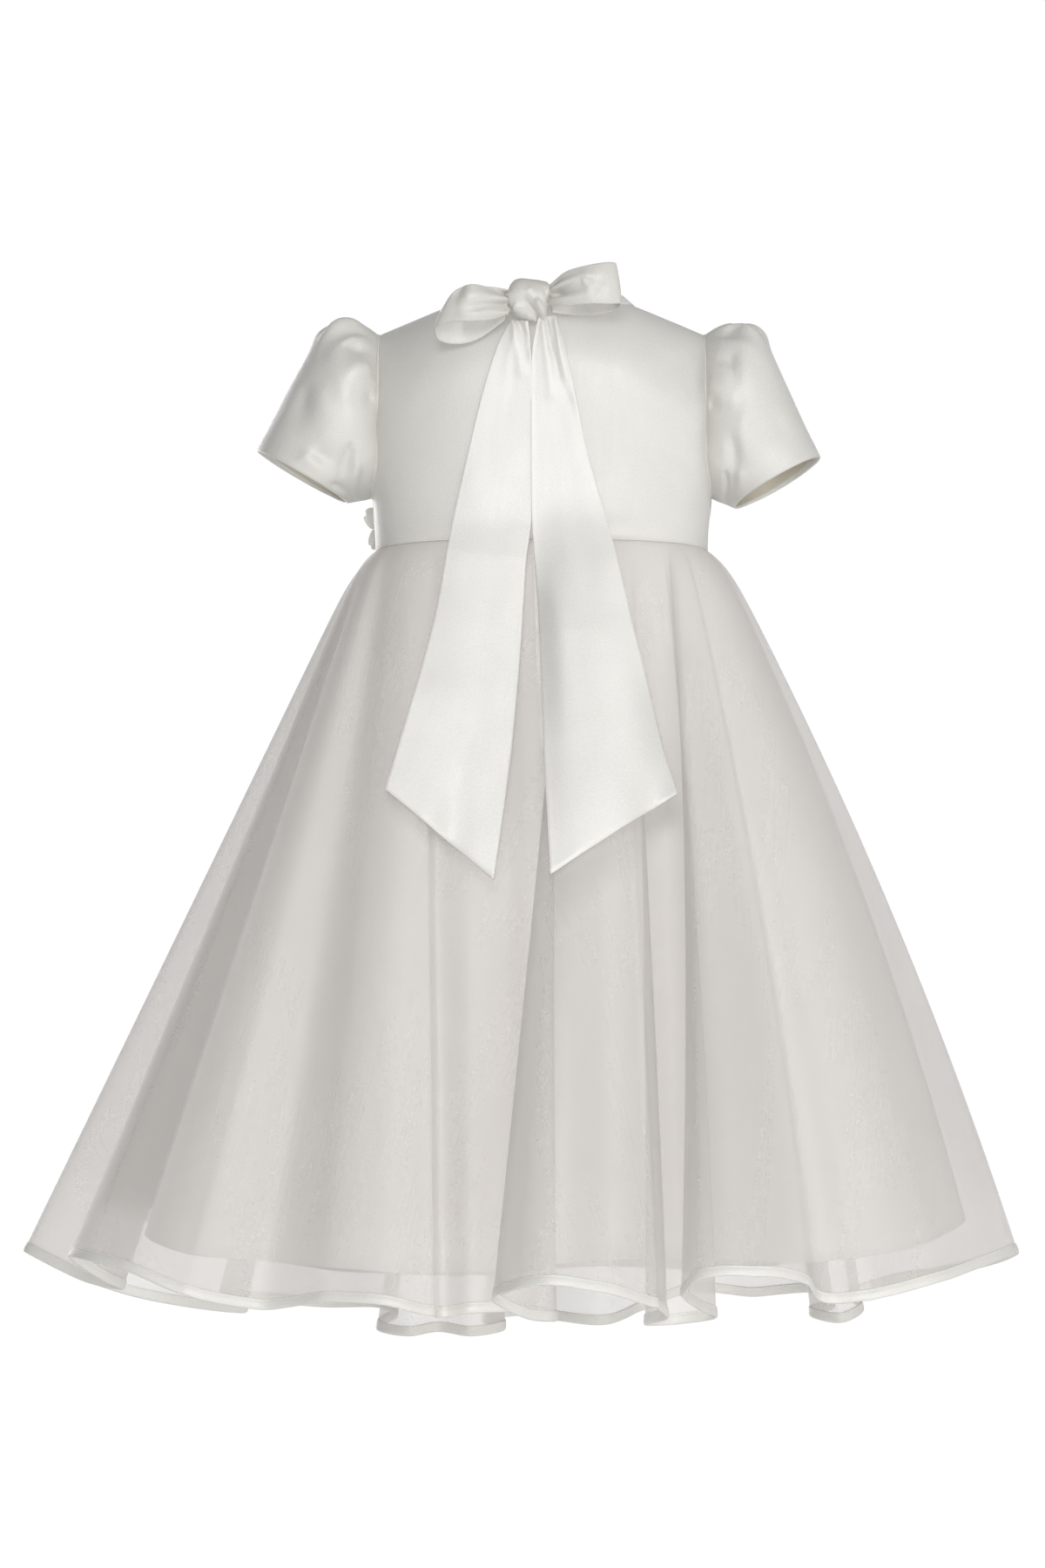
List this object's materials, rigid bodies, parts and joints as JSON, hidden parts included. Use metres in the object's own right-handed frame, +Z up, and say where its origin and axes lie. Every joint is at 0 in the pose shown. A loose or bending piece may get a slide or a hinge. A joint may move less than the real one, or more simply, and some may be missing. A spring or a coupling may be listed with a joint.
{
  "type": "flower girl dress",
  "caption": "Small child's dress with a satin bodice, puff sleeves, a big bow and tails at the back neck, and a full sheer skirt with a bound hem over a lining.",
  "frame": {"origin": "on the centre line between the shoulders, at the height of the back neckline, where the wearer's shoulders hold the dress", "axes": "+Z up, +X to the wearer's right, +Y out of the dress's front"},
  "size_m": [0.5948, 0.4644, 0.6296],
  "materials": {
    "satin": "ivory satin with a soft sheen",
    "organza": "sheer ivory organza",
    "lining": "smooth ivory lining",
    "satin_trim": "ivory satin binding"
  },
  "bodies": {
    "root": {"bodice_front": "satin", "bodice_back_left": "satin", "bodice_back_right": "satin", "neck_band": "satin_trim", "sleeve_left": "satin", "sleeve_right": "satin", "skirt_front": "organza", "skirt_back_left": "organza", "skirt_back_right": "organza", "hem_binding_front": "satin_trim", "hem_binding_back_left": "satin_trim", "hem_binding_back_right": "satin_trim", "lining_front": "lining", "lining_back": "lining", "back_placket": "satin_trim", "bow_knot": "satin", "bow_loop_left": "satin", "bow_loop_right": "satin", "bow_tail_left": "satin", "bow_tail_right": "satin", "flower_petal_1": "satin", "flower_petal_2": "satin", "flower_petal_3": "satin", "flower_petal_4": "satin", "flower_petal_5": "satin", "flower_eye": "satin_trim"}
  },
  "joints": []
}
